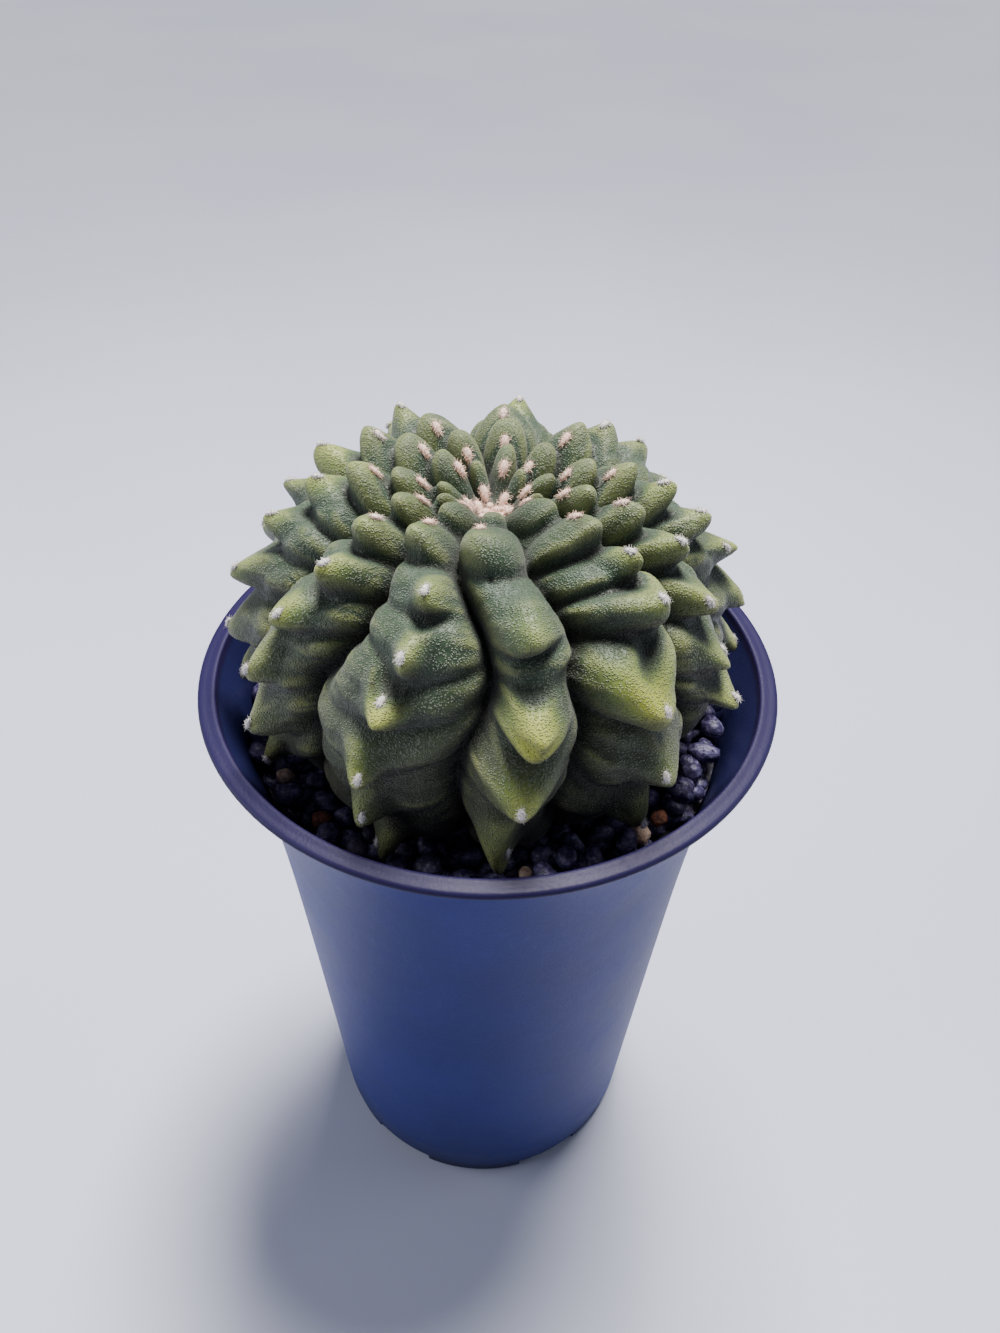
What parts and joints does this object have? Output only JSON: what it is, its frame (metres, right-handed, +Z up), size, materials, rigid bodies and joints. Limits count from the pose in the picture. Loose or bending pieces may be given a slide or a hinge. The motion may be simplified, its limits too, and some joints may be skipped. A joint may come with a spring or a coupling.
{
  "type": "potted round cactus",
  "caption": "Round, strongly ribbed and chinned cactus, nearly spineless, rooted in black grit in a deep flared nursery pot that stands on its foot.",
  "frame": {"origin": "centre of the pot's foot ring, in the plane that it stands on", "axes": "+Z up along the pot's axis; -Y towards the side the plant is seen from"},
  "size_m": [0.09, 0.09, 0.1527],
  "materials": {
    "pot_plastic": "satin",
    "potting_mix": "rough, granular",
    "black_grit": "rounded grains, half gloss",
    "cactus_skin": "velvety, fine papillae",
    "areole_wool": "felted wool",
    "pumice": "rough",
    "red_clay": "rough"
  },
  "bodies": {
    "root": {"areole_wool_rib01_2": "areole_wool", "areole_wool_rib01_3": "areole_wool", "areole_wool_rib01_4": "areole_wool", "areole_wool_rib01_5": "areole_wool", "areole_wool_rib02_2": "areole_wool", "areole_wool_rib02_3": "areole_wool", "areole_wool_rib02_4": "areole_wool", "areole_wool_rib02_5": "areole_wool", "areole_wool_rib03_3": "areole_wool", "areole_wool_rib03_4": "areole_wool", "areole_wool_rib03_5": "areole_wool", "areole_wool_rib03_6": "areole_wool", "areole_wool_rib04_3": "areole_wool", "areole_wool_rib04_4": "areole_wool", "areole_wool_rib04_5": "areole_wool", "areole_wool_rib04_6": "areole_wool", "areole_wool_rib05_3": "areole_wool", "areole_wool_rib05_4": "areole_wool", "areole_wool_rib05_5": "areole_wool", "areole_wool_rib05_6": "areole_wool", "areole_wool_rib06_3": "areole_wool", "areole_wool_rib06_4": "areole_wool", "areole_wool_rib06_5": "areole_wool", "areole_wool_rib07_3": "areole_wool", "areole_wool_rib07_4": "areole_wool", "areole_wool_rib07_5": "areole_wool", "areole_wool_rib07_6": "areole_wool", "areole_wool_rib08_2": "areole_wool", "areole_wool_rib08_3": "areole_wool", "areole_wool_rib08_4": "areole_wool", "areole_wool_rib08_5": "areole_wool", "areole_wool_rib08_6": "areole_wool", "areole_wool_rib09_3": "areole_wool", "areole_wool_rib09_4": "areole_wool", "areole_wool_rib09_5": "areole_wool", "areole_wool_rib09_6": "areole_wool", "areole_wool_rib10_3": "areole_wool", "areole_wool_rib10_4": "areole_wool", "areole_wool_rib10_5": "areole_wool", "areole_wool_rib11_2": "areole_wool", "areole_wool_rib11_3": "areole_wool", "areole_wool_rib11_4": "areole_wool", "areole_wool_rib11_5": "areole_wool", "black_grit": "black_grit", "cactus_body": "cactus_skin", "clay_pebble_1": "red_clay", "clay_pebble_2": "red_clay", "clay_pebble_3": "red_clay", "clay_pebble_4": "red_clay", "crown_wool": "areole_wool", "pot": "pot_plastic", "potting_mix": "potting_mix", "pumice_pebble_1": "pumice", "pumice_pebble_2": "pumice", "pumice_pebble_3": "pumice", "pumice_pebble_4": "pumice"}
  },
  "joints": []
}
